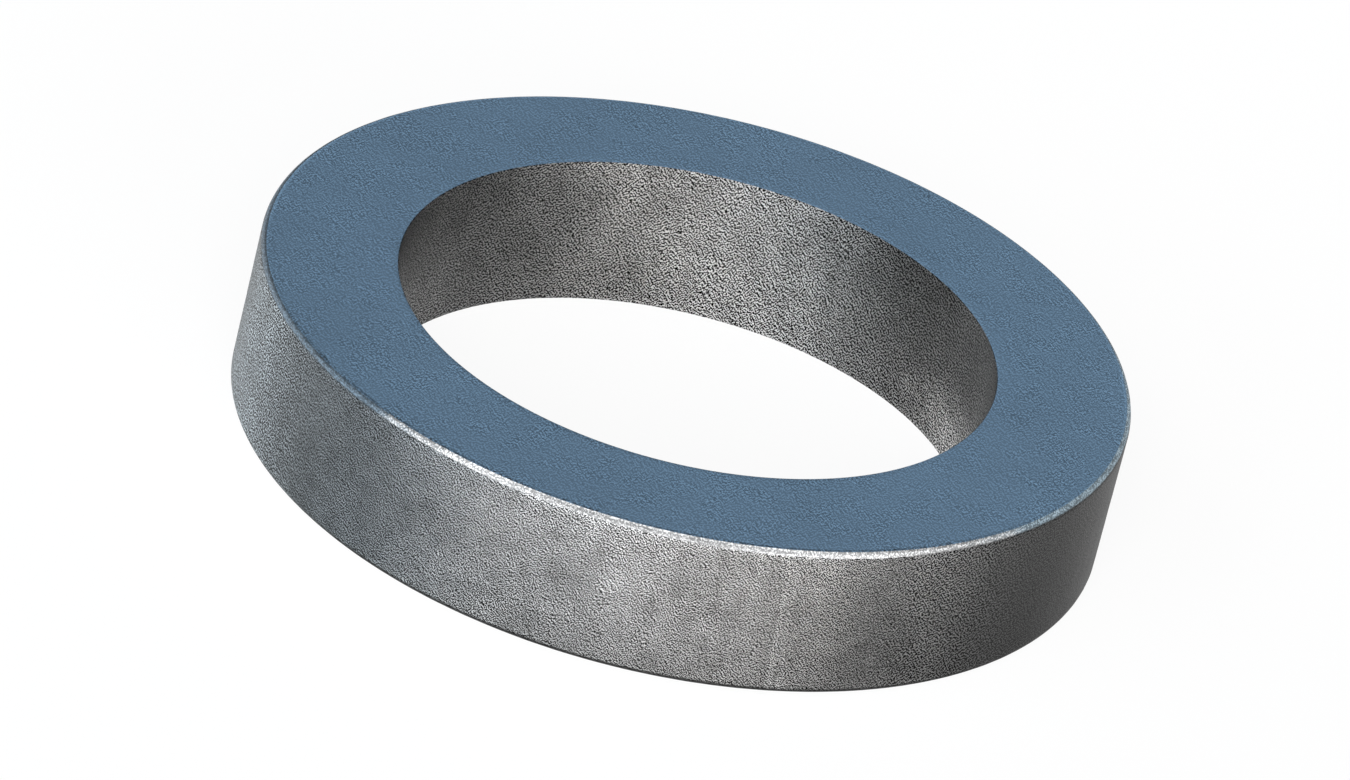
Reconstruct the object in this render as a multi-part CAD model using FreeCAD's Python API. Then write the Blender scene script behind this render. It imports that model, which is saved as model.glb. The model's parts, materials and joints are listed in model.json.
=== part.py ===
import FreeCAD, Part
import os
from math import cos, radians, sin

# A ring gear blank: one plain steel ring, turned true all round, before any teeth are cut.
# The axis is Z and the origin is on that axis, at the face that the ring rests on.

# Driving dimensions, in millimetres
outside_diameter = 220.0
bore_diameter = 151.2
ring_height = 40.0
top_edge_radius = 2.0
bottom_edge_radius = 2.0

# Sizes that follow from them
outside_radius = outside_diameter / 2
bore_radius = bore_diameter / 2
axis_foot = FreeCAD.Vector(0, 0, 0)
axis_direction = FreeCAD.Vector(0, 0, 1)


def section_point(radius, height):
    """A point of the half-section, by its distance from the axis and its height above the rest face."""
    return FreeCAD.Vector(radius, 0, height)


def edge_round(centre_radius, centre_height, round_radius, start_angle, end_angle):
    """A rounded corner of the section: a circular arc between two angles, measured from straight outwards."""
    corner = []
    for angle in (start_angle, (start_angle + end_angle) / 2, end_angle):
        out = centre_radius + round_radius * cos(radians(angle))
        up = centre_height + round_radius * sin(radians(angle))
        corner.append(section_point(out, up))
    return Part.Arc(*corner).toShape()


def half_section():
    """The ring's cross-section on one side of the axis: square at the bore, rounded at the outer edges."""
    bore_foot = section_point(bore_radius, 0)
    bore_head = section_point(bore_radius, ring_height)
    bottom_centre_radius = outside_radius - bottom_edge_radius
    top_centre_radius = outside_radius - top_edge_radius
    top_centre_height = ring_height - top_edge_radius
    bottom_round = edge_round(bottom_centre_radius, bottom_edge_radius, bottom_edge_radius, -90, 0)
    top_round = edge_round(top_centre_radius, top_centre_height, top_edge_radius, 0, 90)
    bottom_face = Part.LineSegment(bore_foot, section_point(bottom_centre_radius, 0)).toShape()
    outer_wall_foot = section_point(outside_radius, bottom_edge_radius)
    outer_wall_head = section_point(outside_radius, top_centre_height)
    outer_wall = Part.LineSegment(outer_wall_foot, outer_wall_head).toShape()
    top_face = Part.LineSegment(section_point(top_centre_radius, ring_height), bore_head).toShape()
    bore_wall = Part.LineSegment(bore_head, bore_foot).toShape()
    outline = [bottom_face, bottom_round, outer_wall, top_round, top_face, bore_wall]
    return Part.Face(Part.Wire(outline))


def ring_blank():
    """The whole ring: its half-section turned once round the axis."""
    return half_section().revolve(axis_foot, axis_direction, 360)


os.makedirs("parts", exist_ok=True)
ring = ring_blank()
ring.exportStep("parts/ring_blank.step")
print("ring_blank", "valid" if ring.isValid() else "not valid", "solids", len(ring.Solids))
print("volume in cubic centimetres", round(ring.Volume / 1000, 2))
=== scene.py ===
import json
import math

import bpy
import numpy as np
from mathutils import Matrix, Vector


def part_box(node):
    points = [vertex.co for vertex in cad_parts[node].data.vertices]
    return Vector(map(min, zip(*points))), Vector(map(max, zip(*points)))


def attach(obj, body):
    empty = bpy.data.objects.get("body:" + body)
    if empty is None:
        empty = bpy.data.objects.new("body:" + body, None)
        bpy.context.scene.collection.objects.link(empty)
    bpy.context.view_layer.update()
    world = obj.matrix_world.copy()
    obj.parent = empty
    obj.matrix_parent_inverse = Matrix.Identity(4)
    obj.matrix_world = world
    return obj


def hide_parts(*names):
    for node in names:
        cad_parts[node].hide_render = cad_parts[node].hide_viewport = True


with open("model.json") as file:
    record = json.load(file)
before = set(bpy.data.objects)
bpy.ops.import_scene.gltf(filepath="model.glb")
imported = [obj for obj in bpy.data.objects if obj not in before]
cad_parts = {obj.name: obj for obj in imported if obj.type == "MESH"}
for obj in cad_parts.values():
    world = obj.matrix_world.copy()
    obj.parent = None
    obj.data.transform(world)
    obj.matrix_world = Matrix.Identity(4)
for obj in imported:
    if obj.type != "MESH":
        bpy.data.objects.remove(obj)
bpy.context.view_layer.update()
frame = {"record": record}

bl_info = {
    "name": "Ring gear blank",
    "version": (1, 0, 0),
    "blender": (4, 5, 0),
    "location": "3D View > Sidebar > Ring",
    "description": "Dresses a ring gear blank: grained steel walls, a painted face and a plain studio",
    "category": "Add Mesh",
}

NODE = "ring_blank"
BODY = "root"

# The ring as the frame gives it, in metres
ring_low, ring_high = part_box(NODE)
mounts = {mount["name"]: mount for mount in frame["record"]["mounts"]}
ring_height = ring_high.z - ring_low.z
outside_radius = min(ring_high.x - ring_low.x, ring_high.y - ring_low.y) / 2
bore_radius = mounts["bore"]["dims"]["r_mm"] / 1000
edge_radius = (ring_height - mounts["outside"]["dims"]["length_mm"] / 1000) / 2

# The photograph's frame and where the middle of the ring stands in it, in pixels
PHOTO_WIDTH = 1350
PHOTO_HEIGHT = 780
RING_MIDDLE_X = 681.39
RING_MIDDLE_Y = 386.28

# Bearings of the ring's right end, its back and its front as the photograph shows it, anticlockwise from +X
RIGHT, BACK, FRONT = (math.radians(degrees) for degrees in (0, 90, 270))


def number(name, text, default, low, high, **more):
    """A FloatProperty with its name, description, default and limits."""
    return bpy.props.FloatProperty(name=name, description=text, default=default, min=low, max=high, **more)


def length(name, text, default, low, high):
    """A FloatProperty for a length in metres."""
    return number(name, text, default, low, high, unit="LENGTH", subtype="DISTANCE", precision=5)


def angle(name, text, degrees, low, high):
    """A FloatProperty for an angle, given here in degrees."""
    return number(name, text, math.radians(degrees), math.radians(low), math.radians(high),
                  unit="ROTATION", subtype="ANGLE")


def colour(name, text, default):
    """A FloatVectorProperty for a linear colour."""
    return bpy.props.FloatVectorProperty(name=name, description=text, default=default, size=3,
                                         min=0.0, max=1.0, subtype="COLOR")


class RING_PG_shape(bpy.types.PropertyGroup):
    """Sizes of the dressed ring that the frame doesn't give."""

    bore_edge_radius: length("Bore edge", "Radius that breaks the sharp edges of the bore",
                             0.00015, 0.00002, 0.002)
    paint_overlap: angle("Paint overlap", "How far the paint runs over the rounded outer edge",
                         20.0, 0.0, 90.0)
    wall_relief: length("Wall relief", "Depth of the shallow waves in the walls", 0.00006, 0.0, 0.001)
    face_relief: length("Face relief", "Depth of the shallow waves in the flat faces", 0.00001, 0.0, 0.001)


class RING_PG_steel(bpy.types.PropertyGroup):
    """The bare grained steel of the walls and the underside."""

    tone: colour("Steel", "Colour that the steel reflects", (0.147, 0.147, 0.146))
    # The blue tint of the steel at the ring's left end is a painted reflection of bluish light
    reflection: colour("Haze", "Colour of the steel under a faint blue haze at the ring's left end",
                 (0.127, 0.142, 0.151))
    # The bore's gain, the top's and the bore foot's rises, the bore's pale patch and dark side, and the pale
    # and dark ends are painted light and shade on one steel
    bore_gain: number("Bore gain", "How much brighter the steel of the bore is", 0.88, 0.5, 2.0)
    top_gain: number("Top gain", "How much brighter the outer wall is at its top than at its middle",
                     0.28, 0.0, 1.0)
    bore_foot_gain: number("Bore foot gain", "How much brighter the bore is at its foot than at its middle",
                           0.30, 0.0, 1.0)
    bore_pale: number("Bore pale patch", "How much paler the bore is at its foot on the right",
                      0.90, 0.0, 2.0)
    bore_dark: number("Bore dark side", "How much darker the bore's right side is", 0.25, 0.0, 1.0)
    pale_end: number("Pale end", "How much paler the outer wall is at the ring's left end", 0.12, 0.0, 1.0)
    dark_end: number("Dark end", "How much darker the outer wall is at the ring's right end", 0.64, 0.0, 1.0)
    roughness: number("Roughness", "Mean roughness of the steel", 0.50, 0.05, 1.0)
    grooving: number("Grooving", "How far turning round the axis draws out the gloss", 0.8, 0.0, 1.0)
    grain: length("Grain", "Size of the cells of noise behind the grain", 0.00031, 0.0001, 0.01)
    grain_depth: length("Grain depth", "Height of the grain", 0.00020, 0.0, 0.001)
    grain_contrast: number("Grain contrast", "How far the grain lightens and darkens the steel",
                           1.0, 0.0, 1.0)
    # The darker rounded foot of the outer wall is painted shade
    foot_dark: number("Foot", "How much darker the rounded foot of the outer wall is", 0.8, 0.0, 1.0)
    streak_bearing: angle("Streaks", "Bearing of the foot of the two pale upright streaks", 290.1, 0.0, 360.0)
    streak_lean: length("Streak lean", "How far the streaks lean over by the top of the wall",
                        0.0028, -0.02, 0.02)
    streak_gain: number("Streak gain", "How much paler the steel is on a streak", 0.24, 0.0, 1.0)


class RING_PG_edge(bpy.types.PropertyGroup):
    """The upper outer edge: bright bare steel on the front stretch, a painted highlight, and paint on the rest,
    with painted shade towards the left.
    """

    tone: colour("Bright steel", "Colour that the rubbed edge reflects", (0.31, 0.31, 0.31))
    # The edge's paint is painted darker at the left end and lighter at the right end: painted shade and painted
    # light
    lit_paint: colour("Thin paint", "Colour of the thin paint at the edge's right end", (0.155, 0.20, 0.232))
    shaded_paint: colour("Thick paint", "Colour of the thicker paint at the edge's left end",
                        (0.060, 0.088, 0.115))
    roughness: number("Roughness", "Mean roughness of the edge", 0.55, 0.05, 1.0)
    grain: length("Grain", "Size of the cells of noise behind the grain", 0.00038, 0.0001, 0.01)
    grain_depth: length("Grain depth", "Height of the grain", 0.00012, 0.0, 0.001)
    foot: angle("Foot", "How far up the round the band starts", 21.0, 0.0, 90.0)
    # The bright stretch at the front of the edge is a painted highlight, and the darker lower half of the
    # stretch to the front right is painted shade
    highlit_bearing: angle("Rubbed side", "Bearing of the middle of the rubbed stretch", 278.5, 0.0, 360.0)
    shaded_bearing: angle("Dull side", "Bearing of the middle of the stretch with a dull lower half",
                        322.0, 0.0, 360.0)
    shaded_foot: number("Dull foot", "How much darker the lower half of the dull stretch is", 0.42, 0.0, 1.0)
    highlit_reach: angle("Rubbed reach", "How far the rubbed stretch runs either way from its middle",
                        43.5, 0.0, 90.0)


class RING_PG_paint(bpy.types.PropertyGroup):
    """The satin blue paint on the upper face."""

    tone: colour("Paint", "Colour of the paint", (0.094, 0.157, 0.229))
    roughness: number("Roughness", "Mean roughness of the paint", 0.55, 0.05, 1.0)
    grain: length("Grain", "Distance from one wrinkle of the paint to the next", 0.0012, 0.0001, 0.01)
    grain_depth: length("Grain depth", "Height of the wrinkles", 0.00003, 0.0, 0.001)
    # The border's darker front and paler back are painted shade and painted light where the paint turns over
    # the edge
    border_dark: number("Border", "How much darker the paint is where it turns over the edge", 0.22, 0.0, 0.5)
    border_bearing: angle("Border side", "Bearing of the middle of the dark border", 265.0, 0.0, 360.0)
    border_pale: number("Border behind", "How much paler the paint turns over the edge at the back",
                        0.18, 0.0, 0.5)


def lamp_group(label, bearing, height, spread, strength, tint):
    """A PropertyGroup class for one studio lamp, with that lamp's own defaults."""
    fields = {
        "bearing": angle("Bearing", "Direction that the light comes from, anticlockwise from +X",
                         bearing, -360, 360),
        "height": angle("Height", "Angle of the lamp above the floor", height, 0, 90),
        "spread": angle("Spread", "Angle that the soft lamp takes up, seen from the ring", spread, 1, 180),
        "strength": number("Strength", "Light on a surface that faces the lamp", strength, 0.0, 20.0),
        "tint": colour("Tint", "Colour of the light", tint),
    }
    return type("RING_PG_" + label + "_lamp", (bpy.types.PropertyGroup,), {"__annotations__": fields})


LAMPS = {
    "front": lamp_group("front", 270, 35, 34, 3.34, (1.0, 1.0, 1.0)),
    "front_right": lamp_group("front_right", 300, 8, 34, 3.29, (1.0, 0.99, 0.975)),
    "front_left": lamp_group("front_left", 240, 8, 34, 2.90, (0.86, 0.94, 1.0)),
    "left": lamp_group("left", 210, 35, 34, 0.55, (0.86, 0.94, 1.0)),
    "back_left": lamp_group("back_left", 150, 8, 34, 1.61, (0.95, 0.98, 1.0)),
}


class RING_PG_stage(bpy.types.PropertyGroup):
    """Floor, fill light and camera."""

    floor_tone: colour("Floor", "Colour of the floor", (0.92, 0.92, 0.92))
    floor_white: number("Floor white", "Share of plain white in the floor as the camera and gloss see it",
                        0.90, 0.0, 1.0)
    floor_width: length("Floor width", "Side of the square floor", 60.0, 1.0, 200.0)
    fill: number("Fill", "Strength of the even light from all round", 0.02, 0.0, 5.0)
    fill_tint: colour("Fill tint", "Colour of the even light", (1.0, 1.0, 1.0))
    camera_height: angle("Camera height", "Angle of the camera above the floor", 28.417, 0, 90)
    camera_roll: angle("Camera roll", "Turn of the camera about its own line of sight", 14.043, -180, 180)
    camera_distance: length("Camera distance", "From the camera to the middle of the ring", 2.858, 0.3, 50.0)
    focal_length: number("Focal length", "Focal length of the lens, in millimetres", 307.81, 10.0, 1000.0)


def from_bearing(bearing, height):
    """The unit vector towards a direction: bearing anticlockwise from +X, height above the floor."""
    level = math.cos(height)
    return Vector((level * math.cos(bearing), level * math.sin(bearing), math.sin(height)))


class Value:
    """A number that varies over a surface: a node's output, on which Python's operators add Math nodes."""

    def __init__(self, nodes, socket):
        self.nodes = nodes
        self.socket = socket

    def math(self, operation, *others):
        """A Math node of this operation, with this value first."""
        inputs = {index: other for index, other in enumerate((self, *others))}
        return self.nodes.add("ShaderNodeMath", {"operation": operation}, inputs).value()

    def __add__(self, other):
        return self.math("ADD", other)

    def __radd__(self, other):
        return self.math("ADD", other)

    def __sub__(self, other):
        return self.math("SUBTRACT", other)

    def __rsub__(self, other):
        return self.nodes.number(other).math("SUBTRACT", self)

    def __mul__(self, other):
        return self.math("MULTIPLY", other)

    def __rmul__(self, other):
        return self.math("MULTIPLY", other)

    def __truediv__(self, other):
        return self.math("DIVIDE", other)

    def __rtruediv__(self, other):
        return self.nodes.number(other).math("DIVIDE", self)

    def __abs__(self):
        return self.math("ABSOLUTE")

    def between(self, low, high):
        """0 below low, 1 above high and a smooth rise from one to the other."""
        fields = {"Value": self, "From Min": low, "From Max": high}
        settings = {"interpolation_type": "SMOOTHSTEP"}
        return self.nodes.add("ShaderNodeMapRange", settings, fields).value("Result")


class Node:
    """A shader node that was added, with its outputs by name."""

    def __init__(self, nodes, node):
        self.nodes = nodes
        self.node = node

    def value(self, name=0):
        return Value(self.nodes, self.node.outputs[name])

    def socket(self, name=0):
        return self.node.outputs[name]


# A stroke of the grain: its cells' stretch along the axes, how much of its fall is looked for ahead of it, and
# the falls at which it starts and is at its palest, in spreads
STROKE_STRETCH = (1.0, 0.6, 1.0)
STROKE_AHEAD = 0.65
STROKE_START = -0.4
STROKE_FULL = 1.6
# On a wall, how much a step aside shortens towards the ring's ends, and its rise or drop where the wall turns
STEP_EASE = 0.1
STEP_RISE = 0.54


class Nodes:
    """The node tree of one material or of the world, emptied and then filled through add()."""

    def __init__(self, tree):
        self.tree = tree
        tree.nodes.clear()

    def add(self, kind, settings=None, inputs=None):
        """A node of this type. Settings are its own properties. Inputs are values, Values or sockets."""
        node = self.tree.nodes.new(kind)
        for name, setting in (settings or {}).items():
            setattr(node, name, setting)
        for name, given in (inputs or {}).items():
            target = node.inputs[name]
            if isinstance(given, Value):
                given = given.socket
            if isinstance(given, bpy.types.NodeSocket):
                self.tree.links.new(given, target)
            else:
                target.default_value = given
        return Node(self, node)

    def number(self, value):
        """A plain number as the first term of a difference or a division with a Value."""
        return self.add("ShaderNodeMath", {"operation": "ADD"}, {0: value, 1: 0.0}).value()

    def noise(self, place, scale, detail=2.0, roughness=0.5, stretch=(1.0, 1.0, 1.0)):
        """Smooth noise from 0 to 1 with scale features in a metre, stretched along the axes."""
        mapped = self.add("ShaderNodeMapping", None, {"Vector": place, "Scale": stretch})
        fields = {"Vector": mapped.socket(), "Scale": scale, "Detail": detail, "Roughness": roughness}
        return self.add("ShaderNodeTexNoise", {"noise_dimensions": "3D"}, fields).value("Fac")

    def moved(self, place, x, y, z):
        """The place moved along the axes, by numbers or Values in metres."""
        step = self.add("ShaderNodeCombineXYZ", None, {"X": x, "Y": y, "Z": z}).socket()
        return self.add("ShaderNodeVectorMath", {"operation": "ADD"}, {0: place, 1: step}).socket()

    def aside(self, place, along, step):
        """The place moved to the right along its wall: by reach * (y, -x), and upright by reach * x * rise.

        reach is step * y / ((1 + ease) * y * y + ease * x * x), so the move fades out at the ring's ends.
        """
        x, y = along.value("X"), along.value("Y")
        reach = step * y / ((1 + STEP_EASE) * y * y + STEP_EASE * x * x)
        return self.moved(place, reach * y, -1 * reach * x, STEP_RISE * reach * x)

    def strokes(self, place, ahead, aside, cell, spread):
        """A grain's height, and its strokes: 1 where it falls away towards ahead and aside, else 0, to paint
        light and shade on the grain.
        """
        height, first, second = (self.noise(at, 1 / cell, detail=1.0, roughness=0.6, stretch=STROKE_STRETCH)
                                 for at in (place, ahead, aside))
        fall = height - STROKE_AHEAD * first - (1 - STROKE_AHEAD) * second
        return height, fall.between(STROKE_START * spread, STROKE_FULL * spread)

    def wall_strokes(self, place, along, cell):
        """The strokes of a wall's grain, which falls away upwards and to the right: painted light on slopes
        that face up and aside.
        """
        above = self.moved(place, 0.0, 0.0, cell)
        return self.strokes(place, above, self.aside(place, along, cell), cell, spread=0.035)

    def from_axis(self, place):
        """Distance from the ring's axis: the length of the place with its height taken away."""
        level = self.add("ShaderNodeVectorMath", {"operation": "MULTIPLY"}, {0: place, 1: (1.0, 1.0, 0.0)})
        return self.add("ShaderNodeVectorMath", {"operation": "LENGTH"}, {0: level.socket()}).value("Value")

    def inset(self, place):
        """How far in from the outside the place lies, in radii of the rounded edge."""
        return (outside_radius - self.from_axis(place)) / edge_radius

    def distance_towards(self, place, bearing):
        """How far the place lies from the axis towards a bearing: their dot product."""
        fields = {0: place, 1: tuple(from_bearing(bearing, 0.0))}
        return self.add("ShaderNodeVectorMath", {"operation": "DOT_PRODUCT"}, fields).value("Value")

    def towards(self, place, bearing):
        """The distance towards a bearing in outside radii: 1 on the outer wall there and -1 opposite."""
        return self.distance_towards(place, bearing) / outside_radius

    def streak(self, place, height, bearing, lean, half_width):
        """1 on a line up the outer wall, from this bearing at its foot and over by lean at its top."""
        across = self.distance_towards(place, bearing + math.pi / 2) + lean / ring_height * height
        near = self.towards(place, bearing).between(0.90, 0.95)
        return near * (1 - abs(across).between(0.3 * half_width, half_width))

    def scaled(self, tone, factor):
        """A colour times a number that varies over the surface."""
        return self.add("ShaderNodeVectorMath", {"operation": "SCALE"}, {0: tone, "Scale": factor}).socket()

    def tinted(self, share, first, second):
        """The colour first where share is 0 and second where it is 1, each a linear colour or a socket."""
        tones = (tone if isinstance(tone, bpy.types.NodeSocket) else (*tone, 1.0) for tone in (first, second))
        fields = {"Factor": share, **dict(zip((6, 7), tones))}
        return self.add("ShaderNodeMix", {"data_type": "RGBA"}, fields).socket(2)

    def surface(self, tone, metallic, roughness, height, depth, **gloss):
        """A Principled shader as the material's surface, with a bump of this depth from a grain's height."""
        bump = self.add("ShaderNodeBump", None, {"Strength": 1.0, "Distance": depth, "Height": height})
        fields = {"Base Color": tone, "Metallic": metallic, "Roughness": roughness, "Normal": bump.socket()}
        shader = self.add("ShaderNodeBsdfPrincipled", None, {**fields, **gloss})
        self.add("ShaderNodeOutputMaterial", None, {"Surface": shader.socket()})


def new_material(name):
    """A material, its emptied nodes and the place on the piece in the piece's own coordinates."""
    material = bpy.data.materials.new(name)
    material.use_nodes = True
    nodes = Nodes(material.node_tree)
    return material, nodes, nodes.add("ShaderNodeTexCoord").socket("Object")


# Turn of the gloss, in whole turns, that draws it out across the grooves round the axis
ACROSS = 0.25
# Stretch of the noise for wipes that run up the wall
UPRIGHT = (1.0, 1.0, 0.10)
# How much coarser the grain is in the bore and at the ring's two ends
COARSER = 1.28
# Each pale streak: how far past the first one in radians, half its width in metres, and its strength
STREAKS = ((0.0, 0.0010, 1.0), (0.022, 0.0007, 0.6))
# What brings the mean of a wall's strokes to 1, and the means of the edge's and the paint's own strokes
WALL_STROKES_TO_ONE = 2.6
EDGE_STROKES_MEAN = 0.38
PAINT_STROKES_MEAN = 0.42
# How far the painted highlight's ragged ends reach, in outside radii
RAGGED = 0.1818


def steel_material(steel):
    """Bare steel, turned and blasted: a dense grain of short strokes, clouds, upright wipes and two streaks.

    right is how far right a place lies, in outside radii, and uneven is the same with a ragged border. Each
    part of the ring that is paler or darker, or has a stronger grain, is a mask of its own from 0 to 1. The
    paler and darker parts are painted light and shade, and the blue tint at the left end is a painted
    reflection.
    """
    material, nodes, place = new_material("grained_steel")
    along = nodes.add("ShaderNodeSeparateXYZ", None, {"Vector": place})
    clouds = nodes.noise(place, 60.0, detail=4.0, roughness=0.88)
    from_axis = nodes.from_axis(place)
    height = along.value("Z")
    level = height / ring_height
    right = along.value("X") / outside_radius
    uneven = right + 0.15 * (clouds - 0.5)

    in_bore = 1 - from_axis.between(bore_radius + edge_radius, bore_radius + 2 * edge_radius)
    on_wall = 1 - in_bore
    left_end = (1 - right.between(-0.90, -0.65)) * on_wall
    right_end = right.between(0.40, 0.70) * on_wall
    right_side = right.between(0.02, 0.40) * on_wall
    far_right = right.between(0.60, 0.86) * on_wall

    coarser = left_end + right_end + in_bore
    fine, fine_salt = nodes.wall_strokes(place, along, steel.grain)
    coarse, coarse_salt = nodes.wall_strokes(place, along, COARSER * steel.grain)
    grain = fine + coarser * (coarse - fine)
    salt = fine_salt + coarser * (coarse_salt - fine_salt)
    contrast = steel.grain_contrast * (1 + 0.4 * in_bore + 0.15 * left_end + 0.6 * right_side)
    contrast = contrast * (1 - 0.65 * far_right)
    # A strong contrast loses its darkest strokes at black and so lightens the steel, which this takes back
    evened = 1 - (0.06 * left_end + 0.17 * right_side) * (1 - 0.8 * far_right)

    # Painted light and shade: the bore's steel is set apart from the wall's, the bore is brighter towards its
    # foot, most of all on the right, and the outer wall towards its top
    bore_rise = steel.bore_foot_gain * (0.45 + 1.3 * right)
    top_rise = steel.top_gain * right.between(-0.70, -0.10)
    rise = top_rise - (top_rise + bore_rise) * in_bore
    gain = evened * (1 + (steel.bore_gain - 1) * in_bore + 2 * rise * (level - 0.5))
    # Painted shade: the rounded foot of the outer wall is darker, except at the left end
    under_round = 1 - height.between(0.60 * edge_radius, 0.95 * edge_radius)
    outer = from_axis.between(outside_radius - edge_radius, outside_radius - 0.8 * edge_radius)
    gain = gain * (1 - steel.foot_dark * under_round * outer * right.between(-0.85, -0.60))
    # Painted light on the paler left end of the outer wall and painted shade on its darker right end
    pale_end = 1 - uneven.between(-0.92, -0.82)
    dark_end = uneven.between(0.62, 0.92)
    gain = gain * (1 + on_wall * (steel.pale_end * pale_end - steel.dark_end * dark_end))
    # Painted shade on the bore's right side, and painted light in a pale patch at its foot there
    bore_right = uneven.between(0.20, 0.45)
    bore_foot = uneven.between(0.48, 0.60) * (1 - level.between(0.10, 0.55))
    gain = gain * (1 + in_bore * (steel.bore_pale * bore_foot - steel.bore_dark * bore_right))

    wipe_patch = nodes.noise(place, 26.0, detail=1.0).between(0.52, 0.66)
    wipes = wipe_patch * (nodes.noise(place, 330.0, roughness=0.6, stretch=UPRIGHT) - 0.5)
    foot, lean = steel.streak_bearing, steel.streak_lean
    streaks = sum(strength * nodes.streak(place, height, foot + past, lean, half_width)
                  for past, half_width, strength in STREAKS)
    mottle = 1 + 1.6 * (clouds - 0.5) + 0.6 * wipes + steel.streak_gain * streaks
    # Painted reflection: the outer wall towards the left end is tinted blue, as if it reflects bluish light
    reflection = on_wall * (1 - uneven.between(-0.75, -0.25))
    tint = nodes.tinted(reflection, steel.tone, steel.reflection)
    # The strokes paint light and shade onto the grain, as if lit from above and the side
    tone = nodes.scaled(tint, gain * mottle * (1 + contrast * (WALL_STROKES_TO_ONE * salt - 1)))
    roughness = steel.roughness + 0.16 * (clouds - 0.5) + 0.10 * wipes
    gloss = {"Anisotropic": steel.grooving, "Anisotropic Rotation": ACROSS}
    nodes.surface(tone, 1.0, roughness, grain * (1 - 0.5 * far_right), steel.grain_depth, **gloss)
    return material


def edge_material(edge):
    """The upper outer edge: bright steel on the painted highlight's stretch and paint elsewhere with painted
    shade and light, over a worn grain.
    """
    material, nodes, place = new_material("highlit_edge")
    above = nodes.moved(place, 0.0, 0.0, edge.grain)
    # The strokes are painted glints on the edge grain's slopes that face up
    grain, salt = nodes.strokes(place, above, above, edge.grain, spread=0.08)
    edge_mottle = nodes.noise(place, 110.0, roughness=0.55)
    # Painted highlight: a stretch at the front of the edge, with ragged ends, turns to bright bare steel
    reach = math.cos(edge.highlit_reach)
    front = nodes.towards(place, edge.highlit_bearing)
    highlit = (front + RAGGED * (edge_mottle + grain - 1)).between(0.90 * reach, 1.12 * reach)

    # The edge's upper and lower borders, and what lies between them
    inset = nodes.inset(place)
    upper = inset.between(0.33, 0.55)
    lower = 1 - inset.between(0.08, 0.15)
    core = (1 - lower) * (1 - upper)
    across = nodes.towards(place, RIGHT)
    right = across.between(-0.8, 0.8)
    behind = nodes.towards(place, BACK).between(-0.25, 0.15)
    sides = abs(across).between(0.10, 0.50)
    middle = nodes.towards(place, FRONT).between(0.82, 0.95)
    # Painted shade on the lower half of a stretch to the front right
    shaded = (1 - inset.between(0.12, 0.34)) * nodes.towards(place, edge.shaded_bearing).between(0.93, 0.985)

    # The paint is painted darker at the left end and lighter at the right, darker by its upper border towards
    # the left and paler at the back: painted shade and light
    paint = nodes.tinted(right, edge.shaded_paint, edge.lit_paint)
    blue = nodes.scaled(paint, (1 - 0.45 * upper * (1 - right)) * (1 + 0.5 * behind * right))
    bare = nodes.tinted(highlit, blue, edge.tone)
    # Painted shade on the lower border away from the front and on the shaded stretch; the painted highlight is
    # darker in its middle and brighter at its sides and along its upper border at the front
    gain = (1 - 0.75 * lower * (1 - front.between(0.78, 0.93))) * (1 - edge.shaded_foot * shaded)
    gain = gain * (1 + highlit * (0.45 * sides - 0.30 + 0.25 * core * sides + upper * (1.1 * middle - 0.2)))
    tone = nodes.scaled(bare, gain * (1 + 0.6 * (edge_mottle - 0.5) + salt - EDGE_STROKES_MEAN))
    nodes.surface(tone, 0.35 * highlit, edge.roughness + 0.16 * (edge_mottle - 0.5), grain, edge.grain_depth)
    return material


def paint_material(paint):
    """Satin blue paint, rolled on thin: fine strokes as painted glints, curled wrinkles, soft patches, a slight
    painted light towards the right, and a border with painted shade in front and painted light at the back.
    """
    material, nodes, place = new_material("face_paint")
    patches = nodes.noise(place, 30.0, detail=3.0, roughness=0.55)
    waves = nodes.noise(place, 1 / paint.grain, detail=1.0)
    wrinkles = 1 - (9.0 * abs(waves - 0.5)).between(0.0, 1.0)
    curled = nodes.noise(place, 0.16 / paint.grain, roughness=0.6).between(0.42, 0.60)
    ridges = (wrinkles - 0.38) * curled
    cell = 0.36 * paint.grain
    away = nodes.moved(place, 0.0, 0.55 * paint.grain, 0.0)
    # The fine strokes are painted glints: pale where the paint falls away towards the back and the right
    fine, glints = nodes.strokes(place, away, nodes.moved(place, cell, 0.0, 0.0), cell, spread=0.05)

    # Painted shade on the border where the paint turns over the edge at the front, and painted light on it at
    # the back
    border = 1 - nodes.inset(place).between(0.95, 1.10)
    facing = nodes.towards(place, paint.border_bearing).between(0.10, 0.80)
    behind = nodes.towards(place, BACK).between(-0.20, 0.20)
    # The shade runs from 0, black, over 0.5, the paint's own colour, to 1, twice that colour
    # A slight painted light rises towards the right
    shade = 0.5 + 0.020 * nodes.towards(place, RIGHT) + 0.12 * (patches - 0.5) + 0.10 * ridges
    shade = shade + (0.24 + 0.16 * curled) * (glints - PAINT_STROKES_MEAN)
    shade = shade + border * (paint.border_pale * behind - paint.border_dark * facing)
    brightest = tuple(min(1.0, 2 * channel) for channel in paint.tone)
    tone = nodes.tinted(shade, (0.0, 0.0, 0.0), brightest)
    nodes.surface(tone, 0.0, paint.roughness + 0.10 * (fine - 0.5), ridges + 0.5 * fine, paint.grain_depth)
    return material


def straight(start, end, steps, side):
    """Rows along a straight run of the section, without its last: start + share * (end - start)."""
    share = np.arange(steps)[:, None] / steps
    points = np.array(start) + share * (np.array(end) - np.array(start))
    return points, np.tile(np.array(side, float), (steps, 1))


def corner(centre, radius, first, last, steps):
    """Rows round a corner of the section, without its last: centre + radius * (cos a, sin a)."""
    turn = np.radians(first + (last - first) * np.arange(steps) / steps)
    side = np.stack([np.cos(turn), np.sin(turn)], axis=1)
    return np.array(centre) + radius * side, side


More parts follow.
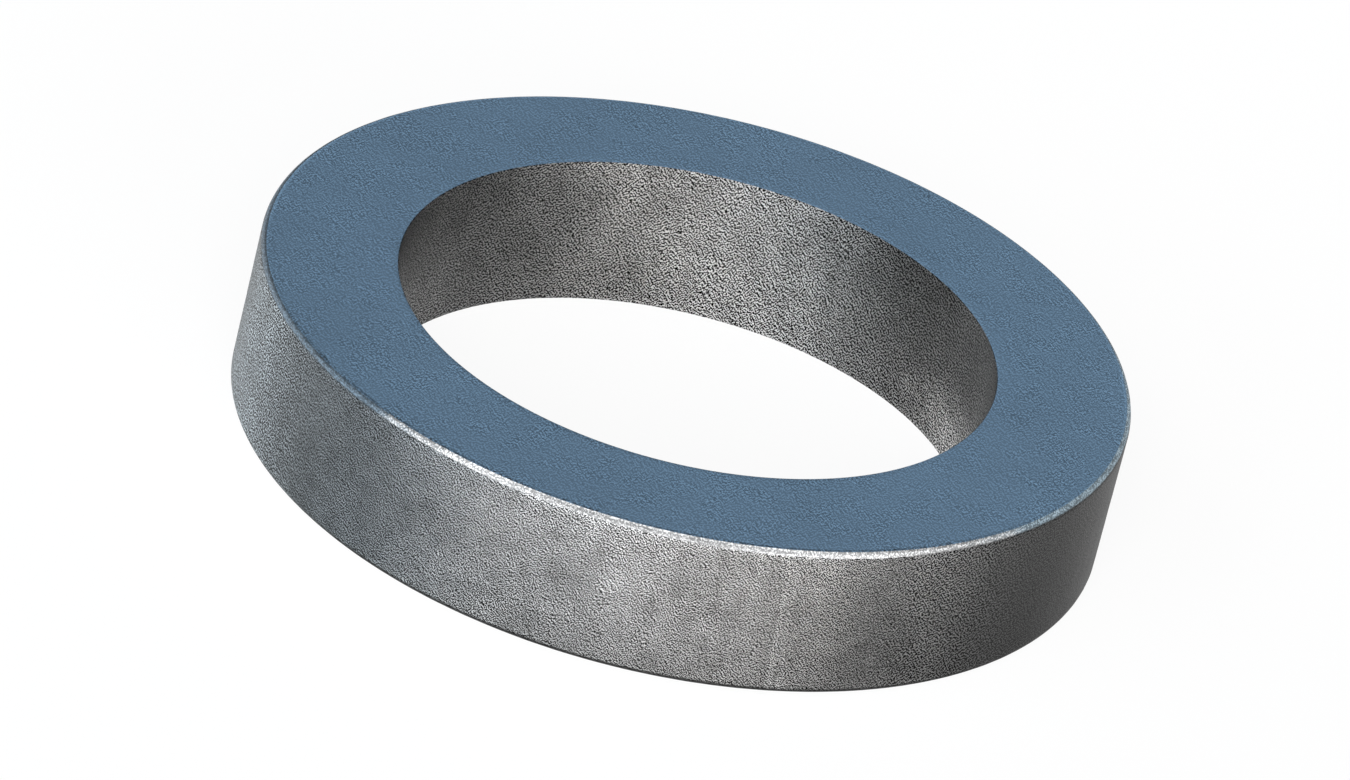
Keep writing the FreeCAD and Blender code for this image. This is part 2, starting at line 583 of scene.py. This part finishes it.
# Rows of the mesh on each run of the section, and the steps in one turn
TURN_STEPS = 720
WALL_ROWS = 36
BORE_ROWS = 34
TOP_ROWS = 20
UNDER_ROWS = 14
ROUND_ROWS = 8
FOOT_ROWS = 2
BAND_ROWS = 5
OVERLAP_ROWS = 3
BORE_EDGE_ROWS = 3

# The ring's finishes, by their places in its list of materials
BARE, BAND, PAINTED = range(3)

# The waves in the skin: their number, the most of them in one turn and in one way round the section, the seed
# of their draw, and how many times their usual sum the whole depth takes up
WAVE_COUNT = 70
WAVES_AROUND = 110
WAVES_ALONG = 24
WAVE_SEED = 11
WAVE_ROOM = 3.2


def ring_section(shape, foot):
    """The closed section, anticlockwise from the bore's foot: each row's point, side, relief and finish."""
    small = shape.bore_edge_radius
    bore, outside, edge, top = bore_radius, outside_radius, edge_radius, ring_height
    rise, overlap = math.degrees(foot), math.degrees(shape.paint_overlap)
    rounded = (outside - edge, top - edge)
    deep, shallow = shape.wall_relief, shape.face_relief
    middle = (deep + shallow) / 2
    runs = [
        (straight((bore + small, 0), (outside - edge, 0), UNDER_ROWS, (0, -1)), shallow, BARE),
        (corner((outside - edge, edge), edge, -90, 0, ROUND_ROWS), middle, BARE),
        (straight((outside, edge), (outside, top - edge), WALL_ROWS, (1, 0)), deep, BARE),
        (corner(rounded, edge, 0, rise, FOOT_ROWS), middle, BARE),
        (corner(rounded, edge, rise, 90 - overlap, BAND_ROWS), middle, BAND),
        (corner(rounded, edge, 90 - overlap, 90, OVERLAP_ROWS), shallow, PAINTED),
        (straight((outside - edge, top), (bore + small, top), TOP_ROWS, (0, 1)), shallow, PAINTED),
        (corner((bore + small, top - small), small, 90, 180, BORE_EDGE_ROWS), shallow, BARE),
        (straight((bore, top - small), (bore, small), BORE_ROWS, (-1, 0)), deep, BARE),
        (corner((bore + small, small), small, 180, 270, BORE_EDGE_ROWS), shallow, BARE),
    ]
    points = np.concatenate([run[0][0] for run in runs])
    sides = np.concatenate([run[0][1] for run in runs])
    relief = np.concatenate([np.full(len(run[0][0]), run[1]) for run in runs])
    finish = np.concatenate([np.full(len(run[0][0]), run[2]) for run in runs])
    relief = (np.roll(relief, 1) + 2 * relief + np.roll(relief, -1)) / 4
    return points, sides, relief, finish


def skin_waves(turn, along):
    """Unevenness from 0 to 1 that closes on itself both ways: a sum of cosines cos(m t + n s + phase)."""
    draw = np.random.default_rng(WAVE_SEED)
    around = draw.integers(-WAVES_AROUND, WAVES_AROUND + 1, WAVE_COUNT)
    across = draw.integers(-WAVES_ALONG, WAVES_ALONG + 1, WAVE_COUNT)
    phase = draw.uniform(0, 2 * math.pi, WAVE_COUNT)
    total = np.zeros((len(turn), len(along)))
    for m, n, start in zip(around, across, phase):
        total += np.cos(m * turn[:, None] + n * along[None, :] + start)
    spread = total / (WAVE_ROOM * math.sqrt(WAVE_COUNT / 2))
    return np.clip(0.5 + 0.5 * spread, 0.0, 1.0)


def ring_surface(shape, foot):
    """The ring as a closed grid: (r cos t, r sin t, z) for each turn t and row (r, z), sunk by its relief."""
    points, sides, relief, finish = ring_section(shape, foot)
    turn = np.arange(TURN_STEPS) * 2 * math.pi / TURN_STEPS
    step = np.linalg.norm(np.roll(points, -1, axis=0) - points, axis=1)
    along = np.concatenate([[0.0], np.cumsum(step)[:-1]]) * 2 * math.pi / step.sum()
    sunk = skin_waves(turn, along) * relief
    radius = points[:, 0] - sunk * sides[:, 0]
    height = points[:, 1] - sunk * sides[:, 1]
    grid = np.stack([radius * np.cos(turn)[:, None], radius * np.sin(turn)[:, None], height], axis=2)
    return grid, finish


def closed_grid_mesh(name, grid):
    """A smooth mesh over a grid that closes on itself both ways.

    Each quad joins a point, the same row's point one turn step ahead, that one's next row and its own next row.
    """
    turns, rows = grid.shape[:2]
    here = np.arange(turns * rows).reshape(turns, rows)
    ahead = np.roll(here, -1, axis=0)
    quads = np.stack([here, ahead, np.roll(ahead, -1, axis=1), np.roll(here, -1, axis=1)], axis=2)
    mesh = bpy.data.meshes.new(name)
    mesh.vertices.add(turns * rows)
    mesh.vertices.foreach_set("co", grid.astype(np.float32).ravel())
    mesh.loops.add(4 * turns * rows)
    mesh.loops.foreach_set("vertex_index", quads.astype(np.int32).ravel())
    mesh.polygons.add(turns * rows)
    mesh.polygons.foreach_set("loop_start", np.arange(0, 4 * turns * rows, 4, dtype=np.int32))
    mesh.polygons.foreach_set("use_smooth", np.ones(turns * rows, dtype=bool))
    mesh.update(calc_edges=True)
    mesh.validate()
    return mesh


class RING_OT_ring(bpy.types.Operator):
    """Make the dressed ring over its solid"""

    bl_idname = "ring_blank.ring"
    bl_label = "Ring"

    def execute(self, context):
        scene = context.scene
        grid, finish = ring_surface(scene.ring_shape, scene.ring_edge.foot)
        mesh = closed_grid_mesh("grained_ring", grid)
        mesh.materials.append(steel_material(scene.ring_steel))
        mesh.materials.append(edge_material(scene.ring_edge))
        mesh.materials.append(paint_material(scene.ring_paint))
        mesh.polygons.foreach_set("material_index", np.tile(finish.astype(np.int32), TURN_STEPS))
        ring = bpy.data.objects.new("grained_ring", mesh)
        scene.collection.objects.link(ring)
        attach(ring, BODY)
        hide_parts(NODE)
        return {"FINISHED"}


def add_floor(scene, stage):
    """A wide plain floor under the ring: matt and pale, and nearly white to the camera and to gloss."""
    half = stage.floor_width / 2
    mesh = bpy.data.meshes.new("floor")
    corners = [(-half, -half, 0), (half, -half, 0), (half, half, 0), (-half, half, 0)]
    mesh.from_pydata(corners, [], [(0, 1, 2, 3)])
    material = bpy.data.materials.new("pale_floor")
    material.use_nodes = True
    nodes = Nodes(material.node_tree)
    lit = nodes.add("ShaderNodeBsdfDiffuse", None, {"Color": (*stage.floor_tone, 1.0)})
    white = nodes.add("ShaderNodeEmission", None, {"Color": (1.0, 1.0, 1.0, 1.0), "Strength": 1.0})
    ray = nodes.add("ShaderNodeLightPath")
    seen = ray.value("Is Camera Ray") + ray.value("Is Glossy Ray") + ray.value("Is Transmission Ray")
    fields = {"Fac": stage.floor_white * seen.math("MINIMUM", 1.0), 1: lit.socket(), 2: white.socket()}
    mixed = nodes.add("ShaderNodeMixShader", None, fields)
    nodes.add("ShaderNodeOutputMaterial", None, {"Surface": mixed.socket()})
    mesh.materials.append(material)
    floor = bpy.data.objects.new("floor", mesh)
    scene.collection.objects.link(floor)


def add_lamps(scene):
    """Distant soft lamps, each as wide as its spread, that shine on the ring from their bearings."""
    for name in LAMPS:
        lamp = getattr(scene, "ring_" + name + "_lamp")
        light = bpy.data.lights.new(name + "_lamp", "SUN")
        light.angle = lamp.spread
        light.energy = lamp.strength
        light.color = lamp.tint
        placed = bpy.data.objects.new(name + "_lamp", light)
        placed.rotation_euler = from_bearing(lamp.bearing, lamp.height).to_track_quat("Z", "Y").to_euler()
        scene.collection.objects.link(placed)


def add_fill(scene, stage):
    """Even light from all round."""
    world = bpy.data.worlds.new("fill")
    world.use_nodes = True
    nodes = Nodes(world.node_tree)
    sky = nodes.add("ShaderNodeBackground", None, {"Color": (*stage.fill_tint, 1.0), "Strength": stage.fill})
    nodes.add("ShaderNodeOutputWorld", None, {"Surface": sky.socket()})
    scene.world = world


def add_camera(scene, stage):
    """The photograph's camera: it looks at the middle of the ring from the front and above, rolled over."""
    camera = bpy.data.cameras.new("camera")
    camera.lens = stage.focal_length
    camera.clip_start = 0.05
    camera.clip_end = 100.0
    camera.shift_x = (PHOTO_WIDTH / 2 - RING_MIDDLE_X) / PHOTO_WIDTH
    camera.shift_y = (RING_MIDDLE_Y - PHOTO_HEIGHT / 2) / PHOTO_WIDTH
    back = from_bearing(FRONT, stage.camera_height)
    placed = bpy.data.objects.new("camera", camera)
    turned = back.to_track_quat("Z", "Y").to_matrix().to_4x4() @ Matrix.Rotation(stage.camera_roll, 4, "Z")
    middle = Vector((0, 0, ring_low.z + ring_height / 2))
    placed.matrix_world = Matrix.Translation(middle + back * stage.camera_distance) @ turned
    scene.collection.objects.link(placed)
    scene.camera = placed


class RING_OT_stage(bpy.types.Operator):
    """Lay the floor, hang the lamps and set up the camera"""

    bl_idname = "ring_blank.stage"
    bl_label = "Stage"

    def execute(self, context):
        scene = context.scene
        scene.view_settings.view_transform = "Standard"
        add_floor(scene, scene.ring_stage)
        add_lamps(scene)
        add_fill(scene, scene.ring_stage)
        add_camera(scene, scene.ring_stage)
        return {"FINISHED"}


class RING_PT_panel(bpy.types.Panel):
    """The ring's sizes and finishes, and the buttons that make its pieces"""

    bl_idname = "RING_PT_panel"
    bl_label = "Ring gear blank"
    bl_space_type = "VIEW_3D"
    bl_region_type = "UI"
    bl_category = "Ring"

    def draw(self, context):
        for group in GROUPS:
            box = self.layout.box()
            settings = getattr(context.scene, group)
            for name in type(settings).__annotations__:
                box.prop(settings, name)
        for operator in OPERATORS:
            self.layout.operator(operator.bl_idname)


OPERATORS = (RING_OT_ring, RING_OT_stage)
GROUPS = {
    "ring_shape": RING_PG_shape,
    "ring_steel": RING_PG_steel,
    "ring_edge": RING_PG_edge,
    "ring_paint": RING_PG_paint,
    "ring_stage": RING_PG_stage,
    **{"ring_" + name + "_lamp": group for name, group in LAMPS.items()},
}


def register():
    for made in (*GROUPS.values(), *OPERATORS, RING_PT_panel):
        bpy.utils.register_class(made)
    for name, group in GROUPS.items():
        setattr(bpy.types.Scene, name, bpy.props.PointerProperty(type=group))


def unregister():
    for name in GROUPS:
        delattr(bpy.types.Scene, name)
    for made in (RING_PT_panel, *OPERATORS, *GROUPS.values()):
        bpy.utils.unregister_class(made)


def main():
    register()
    bpy.ops.ring_blank.ring()
    bpy.ops.ring_blank.stage()


if __name__ == "__main__":
    main()
